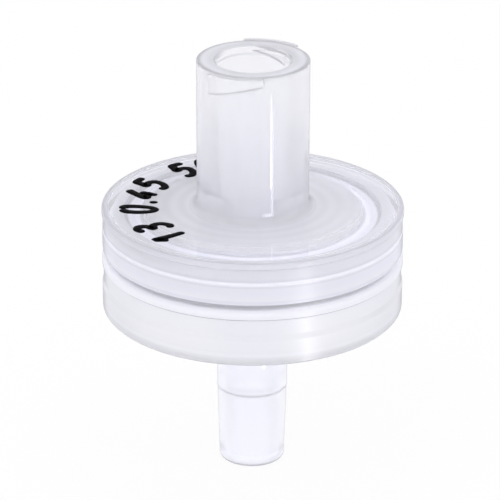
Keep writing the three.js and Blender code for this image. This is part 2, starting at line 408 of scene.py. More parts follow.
def luer_lugs_group():
    """Geometry group: rounded blocks round the rim, each with a helical underside."""
    tree = Tree("Luer lugs", "GeometryNodeTree")
    lugs = tree.takes("Int", "Count")
    root, crest, height, lead, arc, first, top, rounding = tree.takes(
        "Float", "Root Radius", "Crest Radius", "Height", "Lead", "Arc", "Start", "Top", "Rounding")
    mesh, column, _, *units = polar_blocks(tree, lugs, 1, LUG_POINTS)
    sides = (tree.times(arc, crest), tree.minus(crest, root), height)
    outer, inner = [], []
    for unit, side in zip(units, sides):
        # points crowd towards the ends of each side, where the rounding is
        crowded = tree.blend(tree.sum("COSINE", tree.times(unit, math.pi)), 0.5, 0.0)
        outer.append(tree.times(crowded, side))
        inner.append(tree.sum("MINIMUM", tree.most(outer[-1], rounding),
                              tree.minus(side, rounding)))
    out = tree.vector("SUBTRACT", tree.point(*outer), tree.point(*inner))
    push = tree.vector("SCALE", tree.vector("NORMALIZE", out), Scale=rounding)
    x, y, z = (tree.plus(core, step) for core, step in zip(inner, tree.parts(push)))

    along = tree.over(x, crest)
    angle = tree.plus(first, tree.over(tree.times(column, math.tau), lugs), along)
    # the underside climbs with the angle, and the top stays level
    climb = tree.over(tree.times(lead, along), math.tau)
    level = tree.minus(1.0, tree.over(z, height))
    lifted = tree.sum("MULTIPLY_ADD", climb, level, z)
    return tree.gives("Geometry", Mesh=polar_place(
        tree, mesh, tree.minus(crest, y), angle, tree.plus(lifted, tree.minus(top, height))))


def support_grid_group():
    """Geometry group: concentric rings parted by straight radial channels."""
    tree = Tree("Support grid", "GeometryNodeTree")
    rings, channels = tree.takes("Int", "Rings", "Channels")
    inner, pitch, width, gap, bottom, top = tree.takes(
        "Float", "Inner Radius", "Pitch", "Ring Width", "Channel Width", "Bottom", "Top")
    mesh, column, row, x, y, z = polar_blocks(tree, channels, rings, RING_POINTS)
    ring_radius = tree.sum("MULTIPLY_ADD", row, pitch, inner)
    radius = tree.sum("MULTIPLY_ADD", tree.minus(1.0, y), width, ring_radius)
    sector = tree.over(math.tau, channels)
    half_gap = tree.sum("ARCSINE", tree.over(tree.times(gap, 0.5), radius))
    span = tree.sum("MULTIPLY_ADD", half_gap, -2.0, sector)
    angle = tree.sum("MULTIPLY_ADD", column, sector, tree.sum("MULTIPLY_ADD", x, span, half_gap))
    return tree.gives("Geometry", Mesh=polar_place(
        tree, mesh, radius, angle, tree.blend(z, bottom, top)))


def finished_tree(tree, mesh):
    """Ends a piece's tree with plain geometry and its material."""
    smooth = tree.node("SetShadeSmooth", Geometry=mesh)
    plain = tree.node("RealizeInstances", Geometry=smooth)
    coated = tree.node("SetMaterial", Geometry=plain, Material=tree.takes("Material", "Material"))
    return tree.gives("Geometry", Geometry=coated)


def turned_tree(name, group=None):
    """A turned body, joined to the blocks that a geometry group makes on it."""
    tree = Tree(name, "GeometryNodeTree")
    mesh = tree.group(
        "Turned body", turned_body_group, Outline=tree.takes("Geometry", "Geometry"),
        Facets=tree.takes("Int", "Facets"), Rail_Radius=tree.takes("Float", "Rail Radius"))
    if group:
        passed = {
            item.name: tree.takes(item.socket_type.removeprefix("NodeSocket"), item.name)
            for item in group.interface.items_tree if item.in_out == "INPUT"
        }
        added = tree.node("Group", {"node_tree": group}, **passed)
        mesh = tree.node("MeshBoolean", {"operation": "UNION", "solver": "MANIFOLD"},
                         Mesh_2=[mesh, added])
    return finished_tree(tree, mesh)


def ink_tree():
    """Round-ended strokes along drawn lines, bent round the axis."""
    tree = Tree("Ink strokes", "GeometryNodeTree")
    drawn = tree.takes("Geometry", "Geometry")
    stroke, thickness, start, foot, middle, level = tree.takes(
        "Float", "Stroke", "Thickness", "Start", "Foot Radius", "Middle Radius", "Level")
    curve = tree.node("MeshToCurve", Mesh=drawn)
    curve = tree.node("CurveSplineType", {"spline_type": "CATMULL_ROM"}, Curve=curve)
    curve = tree.node("ResampleCurve", {"mode": "LENGTH"}, Curve=curve,
                      Length=tree.times(stroke, NIB_STEP))
    gone = tree.node("SplineParameter").outputs["Length"]
    whole = tree.node("SplineLength").outputs["Length"]
    from_end = tree.sum("MINIMUM", gone, tree.minus(whole, gone))
    near_end = tree.over(from_end, tree.times(stroke, 0.5))
    short = tree.minus(1.0, tree.sum("MINIMUM", near_end, 1.0))
    nib = tree.sum("SQRT", tree.minus(NIB_LIMIT, tree.times(short, short)))
    section = tree.node("CurvePrimitiveQuadrilateral", Width=stroke, Height=thickness)
    line = tree.node("CurveToMesh", Curve=curve, Profile_Curve=section, Scale=nib, Fill_Caps=True)
    x, y, z = tree.parts(tree.node("InputPosition"))
    angle = tree.minus(start, tree.over(x, middle))
    bent = polar_place(tree, line, tree.plus(foot, y), angle, tree.plus(level, z))
    return finished_tree(tree, bent)


def grow(name, tree, source, values):
    """Runs a geometry tree on a mesh and keeps its result as a plain mesh object."""
    piece = bpy.data.objects.new(name, source)
    bpy.context.scene.collection.objects.link(piece)
    modifier = piece.modifiers.new("Shape", "NODES")
    modifier.node_group = tree
    for item in tree.interface.items_tree:
        if item.in_out == "INPUT" and item.name in values:
            modifier[item.identifier] = values[item.name]
    graph = bpy.context.evaluated_depsgraph_get()
    made = bpy.data.meshes.new_from_object(piece.evaluated_get(graph))
    piece.modifiers.remove(modifier)
    made.name = name
    piece.data = made
    if not made.polygons:
        raise RuntimeError(name + " came out empty")
    return piece


# ---- outlines

FILLET_STEPS = 8  # steps in a quarter-round edge
GUARD = 0.03 * MM  # a point this far beside a corner keeps the wall's shading flat
GUARD_SHARE = 0.2  # the most of an edge that a guard takes
CREASE_DEGREES = 34.0
# Roundings of the corners that have no setting of their own, from sharp to soft.
KEEN, CRISP, FINE, MILD = 0.02 * MM, 0.03 * MM, 0.05 * MM, 0.06 * MM
SOFT, EVEN, BROAD, BLUNT = 0.08 * MM, 0.1 * MM, 0.12 * MM, 0.15 * MM


def rounded_outline(corners):
    """Points of a closed outline from (radius, height, rounding) corners, anticlockwise."""
    points = []
    for i, (r, z, rounding) in enumerate(corners):
        corner = Vector((r, z))
        before = Vector(corners[i - 1][:2]) - corner
        after = Vector(corners[(i + 1) % len(corners)][:2]) - corner
        to_before, to_after = before.normalized(), after.normalized()
        half = to_before.angle(to_after) / 2
        reach = rounding / math.tan(half) if rounding else 0.0
        guard = min(GUARD, GUARD_SHARE * before.length, GUARD_SHARE * after.length)
        if before.length > reach + 2 * guard:
            points.append(corner + to_before * (reach + guard))
        if rounding:
            centre = corner + (to_before + to_after).normalized() * (rounding / math.sin(half))
            first = corner + to_before * reach - centre
            sweep = first.angle_signed(corner + to_after * reach - centre)
            steps = max(2, round(FILLET_STEPS * abs(sweep) / (math.pi / 2)))
            for step in range(steps + 1):
                angle = -sweep * step / steps
                points.append(centre + Vector((
                    first.x * math.cos(angle) - first.y * math.sin(angle),
                    first.x * math.sin(angle) + first.y * math.cos(angle),
                )))
        else:
            points.append(corner)
        if after.length > reach + 2 * guard:
            points.append(corner + to_after * (reach + guard))
    return points


def turned_piece(name, group, points, values):
    """A piece turned from an outline, with the blocks of a group, smooth up to its sharp edges."""
    source = bpy.data.meshes.new(name.split("_")[0] + "_outline")
    loop = [(i, (i + 1) % len(points)) for i in range(len(points))]
    source.from_pydata([(p.x, p.y, 0.0) for p in points], loop, [])
    tree = turned_tree(name.replace("_", " ").capitalize(), group)
    piece = grow(name, tree, source, values)
    piece.data.shade_smooth()
    piece.data.set_sharp_from_angle(angle=math.radians(CREASE_DEGREES))
    return piece


# ---- finishes

CLOUD_SCALE, MARK_SCALE = 260.0, 2600.0  # flow clouds and tool marks to the metre
FINE_CLOUDS = 9.0  # how much finer the gloss varies than the clouds
GLOSS_SPREAD, GLOSS_LEAST = 0.03, 0.02
MARK_RELIEF, CLOUD_RELIEF = 0.35, 0.8  # heights of the marks and clouds in the relief
BUMP_STRENGTH, BUMP_DEPTH = 0.12, 0.02 * MM
PLASTIC_IOR = 1.49
SHADOW_TINT = (0.93, 0.93, 0.95, 1.0)
SATIN_GLOSS = 0.3  # roughness of the side walls
SHEEN = 0.045  # share of light that the cloudy plastic mirrors
MILKINESS = 0.35  # how much nearer to white the haze is
RIPPLE_PITCH = 0.9 * MM  # faint rings, lighter and darker in turn across the radius
RIPPLE_DEPTH = 0.03
# Painted shade, on darker and cloudier faces: where each mask begins and where it is full.
GRAZING, GRAZING_MOST = (0.72, 0.98), 0.8  # by how edge-on the face is
UNDERSIDE = (-0.35, -0.8)  # by the height of its normal
NOOK, NOOK_REACH, NOOK_SAMPLES = (0.92, 0.60), 0.35 * MM, 6  # by how open its corner is
DIM_SHARE, DIM_SHADE = 0.80, 0.50  # share and painted shade of the cloud where a mask is full
# Cloudiness as (millimetres, share of cloud, shade of the cloud) stops. The shades paint light and
# shade: painted highlights where they rise, painted shade where they fall.
PROFILE_SPAN = 30 * MM
# Upper shell: up the hub, down its socket, on its end face, across the top plate, across the
# chamber's ceiling and up its side wall.
# painted shade: the hub darker towards its foot
HUB_CLOUD_AND_SHADE = (
    (16.7, 0.46, 0.76), (18.5, 0.42, 0.82), (21.0, 0.38, 0.87), (24.0, 0.36, 0.88),
    (25.6, 0.36, 0.9))
# painted shade line just under the socket's lip
BORE_CLOUD_AND_SHADE = (
    (16.7, 0.5, 0.95), (21.5, 0.35, 1.0), (23.0, 0.1, 1.0), (25.2, 0.06, 1.0),
    (25.26, 0.6, 0.7), (25.32, 0.6, 0.7), (25.38, 0.06, 1.0), (26.0, 0.06, 1.0))
# painted shade lines at the rim's inner lip and at its outer edge
RIM_CLOUD_AND_SHADE = (
    (2.15, 0.85, 0.4), (2.25, 0.8, 0.46), (2.33, 0.62, 0.86), (2.6, 0.62, 0.9),
    (3.02, 0.65, 0.95), (3.12, 0.75, 0.6), (3.34, 0.75, 0.64), (3.45, 0.35, 0.95))
# painted shade: darker over the chamber, and a darker ring on the outer rounding
PLATE_CLOUD_AND_SHADE = (
    (3.3, 0.38, 0.78), (6.2, 0.36, 0.81), (6.5, 0.18, 0.9), (8.58, 0.18, 0.9),
    (8.64, 0.6, 0.9), (8.74, 0.6, 0.88), (8.82, 0.85, 0.74), (9.0, 0.85, 0.74))
# a brighter ring over the clamp, between two darker lines
CEILING_CLOUD_AND_SHADE = (
    (0.0, 0.15, 0.95), (6.4, 0.2, 0.9), (6.5, 0.6, 0.75), (6.66, 0.6, 0.75),
    (6.76, 0.95, 1.22), (7.38, 1.0, 1.22), (7.48, 0.8, 0.6), (7.64, 0.75, 0.6),
    (7.74, 0.5, 1.02), (9.0, 0.5, 1.05))
# painted highlight line along the band's step, with painted shade bands above and below it
SKIRT_CLOUD_AND_SHADE = (
    (13.88, 0.8, 1.06), (13.98, 0.78, 1.04), (14.06, 0.7, 1.0), (14.16, 0.65, 0.93),
    (14.3, 0.8, 1.06), (14.7, 0.75, 1.0), (15.0, 0.7, 0.98), (15.12, 0.65, 0.86),
    (15.22, 0.8, 1.06), (15.28, 0.95, 1.22), (15.38, 0.95, 1.18), (15.44, 0.7, 0.8),
    (15.52, 0.55, 0.85), (15.66, 0.5, 0.93), (15.8, 0.42, 0.87), (16.14, 0.42, 0.9),
    (16.2, 0.8, 0.9), (16.36, 0.8, 0.9), (16.44, 0.5, 0.9))
# Lower shell: along the stem and slip, up its side wall and across its shoulder.
# painted shade at the tip's edge and at the slip's collar, painted highlight just above the tip
STEM_CLOUD_AND_SHADE = (
    (0.0, 0.6, 0.7), (0.03, 0.6, 0.8), (0.08, 0.8, 1.12), (0.35, 0.75, 1.12),
    (0.8, 0.45, 1.01), (4.68, 0.45, 1.01), (4.76, 0.6, 1.06), (4.82, 0.85, 0.74),
    (4.92, 0.85, 0.74), (4.98, 0.6, 1.06), (5.1, 0.55, 1.05), (9.6, 0.55, 1.05),
    (10.1, 0.5, 0.95))
# painted shade at the bottom rounding, painted highlight lines at the lower band's step and along
# the shoulder
WALL_CLOUD_AND_SHADE = (
    (10.14, 0.7, 0.84), (10.3, 0.68, 0.88), (10.72, 0.65, 0.9), (10.8, 0.82, 1.04),
    (10.88, 0.8, 1.03), (10.96, 0.58, 0.93), (11.15, 0.56, 0.965), (12.95, 0.54, 0.985),
    (13.08, 0.8, 1.06), (13.5, 0.92, 1.1))
# painted shade in the seam under the skirt, painted highlight on the shoulder's rounding
SHOULDER_CLOUD_AND_SHADE = (
    (8.2, 0.65, 0.7), (8.5, 0.62, 0.72), (8.66, 0.85, 1.1), (9.0, 0.95, 1.14))
CORE_CLOUD = (0.35, 1.0, 0.0, 1.0)  # the same all through the lower shell's inside
# A painted highlight: a fine white streak up the front of the hub, with a short painted glint at
# its foot in the flare.
STREAK_ANGLE = 19.75  # degrees, right of the front
STREAK_WIDTH = 0.05 * MM
STREAK_BRIGHTNESS = 1.22
STREAK_MIDDLE = 20.0 * MM  # height of its middle
STREAK_REACH = 3.6 * MM
GLINT_HEIGHT = 17.22 * MM
GLINT_OFFSET = -0.22 * MM
GLINT_REACH = 0.28 * MM
GLINT_WIDTH = 0.11 * MM
HUB_SKIN = 3.40 * MM  # the painted streak is on the outside of the hub
HUB_SKIN_DEPTH = 0.16 * MM
# How far the zones of a material reach past the faces that bound them.
THIN_MARGIN = 0.02 * MM
MARGIN = 0.05 * MM
INLET_WALL_DEPTH = 0.3 * MM  # from the skirt's inner face to where its outside begins
OUTLET_WALL_DEPTH = 0.5 * MM
SOCKET_SHINE, SOCKET_FADE = 5.0 * MM, 3.5 * MM  # depth of the socket's polish, and its fade
TIP_FADE = 0.03 * MM
NECK_SHARE = 0.45  # of the tip's diameter, where the slip's outside begins
PAPER_SCALE, PAPER_DEPTH, PAPER_SHADE = 9000.0, 0.01 * MM, 0.97  # grain of the membrane
PAPER_ROUGHNESS = 0.9
INK_SCALE, INK_PALER = 4000.0, 2.0  # mottle of the ink, and how much paler it gets
INK_ROUGHNESS, INK_SPREAD, INK_SHINE = 0.5, 0.25, 0.03


def moulded_surface_group():
    """Shader group: faint flow clouds, turned tool marks and a little unevenness of a moulding."""
    tree = Tree("Moulded surface", "ShaderNodeTree")
    place = tree.takes("Vector", "Vector")
    clouds, spacing, gloss = tree.takes("Float", "Cloud Scale", "Mark Scale", "Roughness")
    cloud = tree.node("TexNoise", Vector=place, Scale=clouds, Detail=3.0, Roughness=0.55)
    fine = tree.node("TexNoise", Vector=place, Scale=tree.times(clouds, FINE_CLOUDS), Detail=2.0)
    radius, z = tree.from_axis(place)
    marks = tree.node("TexNoise", {"noise_dimensions": "2D"}, Vector=tree.point(radius, z, 0.0),
                      Scale=spacing, Detail=1.0)
    uneven = tree.sum("MULTIPLY_ADD", tree.minus(fine, 0.5), GLOSS_SPREAD, gloss)
    relief = tree.sum("MULTIPLY_ADD", marks, MARK_RELIEF, tree.times(cloud, CLOUD_RELIEF))
    return tree.gives("Float", Haze=cloud, Gloss=tree.most(uneven, GLOSS_LEAST), Relief=relief)


def polished_side_group():
    """Shader group: Polished is 1 on the faces that a hand can touch, Satin on side walls."""
    tree = Tree("Polished side", "ShaderNodeTree")
    place = tree.takes("Vector", "Vector")
    wall, neck, shoulder, end, fade = tree.takes(
        "Float", "Wall Radius", "Neck Radius", "Shoulder Height", "End Height", "Fade")
    radius, z = tree.from_axis(place)
    # the neck runs up or down from the shoulder to the end
    way = tree.sum("SIGN", tree.minus(end, shoulder))
    beyond_shoulder = tree.above(tree.times(way, tree.minus(z, shoulder)), 0.0)
    past_end = tree.ease(tree.times(way, tree.minus(z, end)), 0.0, fade)
    on_neck = tree.times(beyond_shoulder, tree.above(radius, neck))
    on_wall = tree.above(radius, wall)
    return tree.gives("Float", Polished=tree.most(on_wall, on_neck, past_end), Satin=on_wall)


def profile(tree, value, stops):
    """Share of cloud (red) and its shade (green), from (millimetres, share, shade) stops."""
    ramp = tree.node("ValToRGB", Fac=tree.over(value, PROFILE_SPAN))
    elements = ramp.color_ramp.elements
    elements.remove(elements[1])
    for i, (at, cloudiness, shade) in enumerate(stops):
        position = at * MM / PROFILE_SPAN
        element = elements.new(position) if i else elements[0]
        element.position = position
        element.color = (cloudiness, shade, 0.0, 1.0)
    return ramp


def mixed(tree, factor, a, b, clamped=True):
    """Colour a where the factor is 0, and b where it is 1."""
    mix = tree.node("Mix", {"data_type": "RGBA", "clamp_factor": clamped}, Factor=factor)
    tree.feed(mix.inputs[6], a)
    tree.feed(mix.inputs[7], b)
    return mix.outputs[2]


def choose(tree, value, limit, below, above):
    """One colour below the limit and another above it."""
    return mixed(tree, tree.above(value, limit), below, above)


def layered(tree, factor, below, above):
    """One shader over another."""
    mix = tree.node("MixShader", Fac=factor)
    tree.feed(mix.inputs[1], below)
    tree.feed(mix.inputs[2], above)
    return mix


def near(tree, value, middle, half):
    """1 at the middle, falling smoothly to 0 beyond half a width."""
    away = tree.sum("ABSOLUTE", tree.minus(value, middle))
    return tree.ease(away, 0.5 * half, 1.5 * half, 1.0, 0.0)


def painted_highlight_streak(tree, place, radius, z):
    """Mask of the painted highlight: a fine white streak up the front of the hub and a short
    painted glint at its foot.
    """
    x, y, _ = tree.parts(place)
    turn_right = math.radians(STREAK_ANGLE)
    # distance sideways from the plane through the axis and the painted streak
    side = tree.plus(tree.times(x, math.cos(turn_right)), tree.times(y, math.sin(turn_right)))
    front = tree.sum("LESS_THAN", y, 0.0)
    outside = near(tree, radius, HUB_SKIN, HUB_SKIN_DEPTH)
    upright = tree.times(tree.above(z, GLINT_HEIGHT), near(tree, side, 0.0, STREAK_WIDTH),
                         near(tree, z, STREAK_MIDDLE, STREAK_REACH))
    foot = tree.times(near(tree, side, GLINT_OFFSET, GLINT_REACH),
                      near(tree, z, GLINT_HEIGHT, GLINT_WIDTH))
    return tree.times(front, outside, tree.most(upright, foot))


def inlet_cloud_and_shade_group():
    """Shader group: share of the upper shell's cloud, and the shade of its colour, with painted
    highlights, a painted highlight streak and painted shade lines.
    """
    tree = Tree("Inlet cloud", "ShaderNodeTree")
    place = tree.takes("Vector", "Vector")
    wall, top, rim, bore, ceiling = tree.takes(
        "Float", "Wall Radius", "Top Height", "Rim Height", "Bore Radius", "Ceiling Height")
    radius, z = tree.from_axis(place)
    side = choose(tree, radius, bore, profile(tree, z, BORE_CLOUD_AND_SHADE), profile(tree, z, HUB_CLOUD_AND_SHADE))
    hub = choose(tree, z, rim, side, profile(tree, radius, RIM_CLOUD_AND_SHADE))
    inner = choose(tree, z, top, profile(tree, radius, PLATE_CLOUD_AND_SHADE), hub)
    inner = choose(tree, z, ceiling, profile(tree, radius, CEILING_CLOUD_AND_SHADE), inner)
    both = choose(tree, radius, wall, inner, profile(tree, z, SKIRT_CLOUD_AND_SHADE))
    # the outer annulus of the top face belongs to the plate
    both = choose(tree, z, tree.minus(top, 3 * THIN_MARGIN), both, inner)
    red, green, _ = tree.node("SeparateColor", Color=both).outputs
    wave = tree.sum("SINE", tree.times(radius, math.tau / RIPPLE_PITCH))
    green = tree.sum("MULTIPLY_ADD", wave, RIPPLE_DEPTH, green)
    # painted highlight streak and glint, whiter than the cloud around them
    line = painted_highlight_streak(tree, place, radius, z)
    return tree.gives("Float", Share=tree.blend(line, red, 1.0),
                      Shade=tree.blend(line, green, STREAK_BRIGHTNESS))


def outlet_cloud_and_shade_group():
    """Shader group: share of the lower shell's cloud, and the shade of its colour, with painted
    highlights and painted shade lines.
    """
    tree = Tree("Outlet cloud", "ShaderNodeTree")
    radius, z = tree.from_axis(tree.takes("Vector", "Vector"))
    wall, bottom, shoulder = tree.takes(
        "Float", "Wall Radius", "Bottom Height", "Shoulder Height")
    side = choose(tree, radius, wall, CORE_CLOUD, profile(tree, z, WALL_CLOUD_AND_SHADE))
    body = choose(tree, z, shoulder, side, profile(tree, radius, SHOULDER_CLOUD_AND_SHADE))
    both = choose(tree, z, bottom, profile(tree, z, STEM_CLOUD_AND_SHADE), body)
    red, green, _ = tree.node("SeparateColor", Color=both).outputs
    return tree.gives("Float", Share=red, Shade=green)


def new_material(name):
    """A material, its empty tree and the place that its patterns read."""
    material = bpy.data.materials.new(name)
    tree = ShaderTree(material)
    return material, tree, tree.node("TexCoord").outputs["Object"]


def clear_plastic(name, tone, cloud, sides, clouds, zones):
    """Slightly milky moulded polypropylene.

    The sides are the inputs of the Polished side group. The clouds are the name and the maker
    of the group that gives the cloudiness and the painted light and shade, and the zones are its
    inputs.
    """
    finish = settings().finish
    material, tree, place = new_material(name)
    polished, satin = tree.group("Polished side", polished_side_group, Vector=place,
                                 **sides).outputs
    roughness = tree.blend(polished, finish.core_gloss, finish.gloss)
    haze, gloss, relief = tree.group(
        "Moulded surface", moulded_surface_group, Vector=place, Cloud_Scale=CLOUD_SCALE,
        Mark_Scale=MARK_SCALE, Roughness=tree.blend(satin, roughness, SATIN_GLOSS)).outputs
    milk = [part + (1.0 - part) * MILKINESS for part in tone]
    bump = tree.node("Bump", Strength=BUMP_STRENGTH, Distance=BUMP_DEPTH, Height=relief)
    body = tree.node("BsdfPrincipled", Roughness=gloss, IOR=PLASTIC_IOR, Normal=bump,
                     Base_Color=mixed(tree, haze, (*tone, 1.0), (*milk, 1.0)),
                     Transmission_Weight=finish.clarity)
    # painted shade: the cloud is made darker at grazing edges, where clear plastic shows dark
    # outlines, and on undersides and in nooks, where shadow falls
    met = tree.node("NewGeometry")
    front = tree.minus(1.0, met.outputs["Backfacing"])
    seen = tree.times(front, polished)
    facing = tree.node("LayerWeight", Blend=0.5).outputs["Facing"]
    grazing = tree.times(seen, tree.times(tree.ease(facing, *GRAZING), GRAZING_MOST))
    outward = tree.times(tree.parts(met.outputs["Normal"])[2], tree.blend(front, -1.0, 1.0))
    under = tree.times(polished, tree.ease(outward, *UNDERSIDE))
    openness = tree.node("AmbientOcclusion", {"samples": NOOK_SAMPLES}, Distance=NOOK_REACH)
    hidden = tree.times(seen, tree.ease(openness.outputs["AO"], *NOOK))
    painted_shade = tree.most(grazing, under, hidden)
    cloudiness, shade = tree.group(*clouds, Vector=place, **zones).outputs
    # the cloud's colour, with its painted light and painted shade
    shaded_milk = mixed(tree, tree.blend(painted_shade, shade, DIM_SHADE), (0.0, 0.0, 0.0, 1.0), (*cloud, 1.0),
                  clamped=False)
    lit = tree.node("BsdfDiffuse", Color=shaded_milk, Normal=bump)
    backlit = tree.node("BsdfTranslucent", Color=shaded_milk, Normal=bump)
    mirror = tree.node("BsdfAnisotropic", Color=(1.0, 1.0, 1.0, 1.0), Roughness=gloss, Normal=bump)
    cloudy = layered(tree, tree.times(front, SHEEN), layered(tree, 0.5, lit, backlit), mirror)
    plastic = layered(tree, tree.blend(painted_shade, cloudiness, DIM_SHARE), body, cloudy)
    # light passes through to what lies behind, so that the shadow stays pale
    shadow = tree.node("LightPath").outputs["Is Shadow Ray"]
    through = tree.node("BsdfTransparent", Color=SHADOW_TINT)
    tree.node("OutputMaterial", Surface=layered(tree, shadow, plastic, through))
    return material


def membrane_paper(tone, bump_strength):
    """Matt white microporous sheet."""
    material, tree, place = new_material("membrane_white")
    grain = tree.node("TexNoise", Vector=place, Scale=PAPER_SCALE, Detail=4.0, Roughness=0.6)
    bump = tree.node("Bump", Strength=bump_strength, Distance=PAPER_DEPTH, Height=grain)
    darker = [PAPER_SHADE * part for part in tone]
    shade = mixed(tree, grain, (*darker, 1.0), (*tone, 1.0))
    body = tree.node("BsdfPrincipled", Base_Color=shade, Roughness=PAPER_ROUGHNESS, Normal=bump)
    tree.node("OutputMaterial", Surface=body)
    return material


def printing_ink(tone):
    """Black pad-printing ink, a little glossy and a little uneven."""
    material, tree, place = new_material("printing_ink")
    mottle = tree.node("TexNoise", Vector=place, Scale=INK_SCALE, Detail=3.0)
    paler = [INK_PALER * part for part in tone]
    shade = mixed(tree, mottle, (*tone, 1.0), (*paler, 1.0))
    rough = tree.sum("MULTIPLY_ADD", mottle, INK_SPREAD, INK_ROUGHNESS)
    body = tree.node("BsdfPrincipled", Base_Color=shade, Roughness=rough,
                     Specular_IOR_Level=INK_SHINE)
    tree.node("OutputMaterial", Surface=body)
    return material


# ---- pieces

SHELL_FACETS = 256
DISC_FACETS = 160
DISC_STEPS = 120  # rings of points across the membrane
DISC_EDGE = 0.01 * MM  # bevel of the membrane's edge
LUG_DROP = 0.02 * MM  # the lugs' tops lie this far under the rim
LUG_ROOT = 0.3 * MM  # how deep a lug reaches into the hub's wall
HUB_ROWS = (2.4, 1.8, 1.3, 0.9, 0.5)  # millimetres under the rim: shorter faces by the lugs
GRID_ROOT = 0.25 * MM  # how deep the support rings reach into the floor
STEP_SLOPE = 4  # how much longer than high the step over the lower band is


def shared_radii():
    """Radii of the weld joint, from the membrane outwards."""
    inlet, outlet = settings().inlet, settings().outlet
    clamp = MEMBRANE_RADIUS + inlet.clamp_margin
    tongue_in = clamp + outlet.clearance
    tongue_out = tongue_in + outlet.tongue
    return {
        "chamber": MEMBRANE_RADIUS - inlet.clamp_width,
        "clamp": clamp,
        "tongue_in": tongue_in,
        "tongue_out": tongue_out,
        "skirt_in": tongue_out + outlet.clearance,
    }


class FILTER_OT_build_inlet_shell(bpy.types.Operator):
    """Make the upper shell: cap, hub, luer socket and lugs"""
    bl_idname = "filter.build_inlet_shell"
    bl_label = "Inlet shell"

    def execute(self, context):
        size, finish, radii = settings().inlet, settings().finish, shared_radii()
        hub, mouth, throat = size.hub_diameter / 2, size.socket_mouth / 2, size.throat / 2
        socket_floor = RIM_Z - size.socket_depth
        socket_floor_radius = mouth - size.socket_taper * size.socket_depth / 2
        top = CEILING_Z + size.top_plate
        band, lip = top - size.band_height, top - size.lip_height
        band_radius = HOUSING_RADIUS - size.lip_step
        skirt_radius = band_radius + size.band_step
        wall = radii["skirt_in"] + INLET_WALL_DEPTH
        outline = [
            (throat, CEILING_Z + size.chamber_slope, BLUNT),
            (radii["chamber"], CEILING_Z, SOFT),
            (radii["chamber"], CLAMP_Z, CRISP),
            (radii["clamp"], CLAMP_Z, FINE),
            (radii["clamp"], CEILING_Z, 0.0),
            (radii["skirt_in"], CEILING_Z, 0.0),
            (radii["skirt_in"], SKIRT_Z, MILD),
            (skirt_radius, SKIRT_Z, size.skirt_rounding),
            (skirt_radius, band - size.band_step, CRISP),
            (band_radius, band, CRISP),
            (band_radius, lip - size.lip_step, CRISP),
            (HOUSING_RADIUS, lip, CRISP),
            (HOUSING_RADIUS, top, size.top_rounding),
            (hub, top, size.hub_fillet),
            *((hub, RIM_Z - down * MM, 0.0) for down in HUB_ROWS),
            (hub, RIM_Z, size.rim_rounding),
            (mouth + size.lead_in, RIM_Z, MILD),
            (mouth, RIM_Z - size.lead_in, SOFT),
            (socket_floor_radius, socket_floor, EVEN),
            (throat, socket_floor - size.throat_funnel, SOFT),
        ]
        material = clear_plastic(
            "inlet_clear_plastic", finish.inlet_tone, finish.inlet_cloud,
            {"Wall_Radius": wall, "Neck_Radius": hub - MARGIN, "Shoulder_Height": top - MARGIN,
             "End_Height": RIM_Z - SOCKET_SHINE, "Fade": SOCKET_FADE},
            ("Inlet cloud", inlet_cloud_and_shade_group),
            {"Wall_Radius": wall, "Top_Height": top + THIN_MARGIN,
             "Rim_Height": RIM_Z - 2 * THIN_MARGIN, "Ceiling_Height": CEILING_Z + 2 * MARGIN,
             "Bore_Radius": mouth + size.lead_in + MARGIN},
        )
        lugs = shared_group("Luer lugs", luer_lugs_group)
        shell = turned_piece("inlet_shell", lugs, rounded_outline(outline), {
            "Facets": SHELL_FACETS,
            "Rail Radius": hub,
            "Count": size.lug_count,
            "Root Radius": hub - LUG_ROOT,
            "Crest Radius": hub + size.lug_projection,
            "Height": size.lug_height - LUG_DROP,
            "Lead": size.lug_lead,
            "Arc": size.lug_arc,
            "Start": size.lug_start,
            "Top": RIM_Z - LUG_DROP,
            "Rounding": size.lug_rounding,
            "Material": material,
        })
        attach(shell, "root")
        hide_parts("inlet_housing")
        return {"FINISHED"}


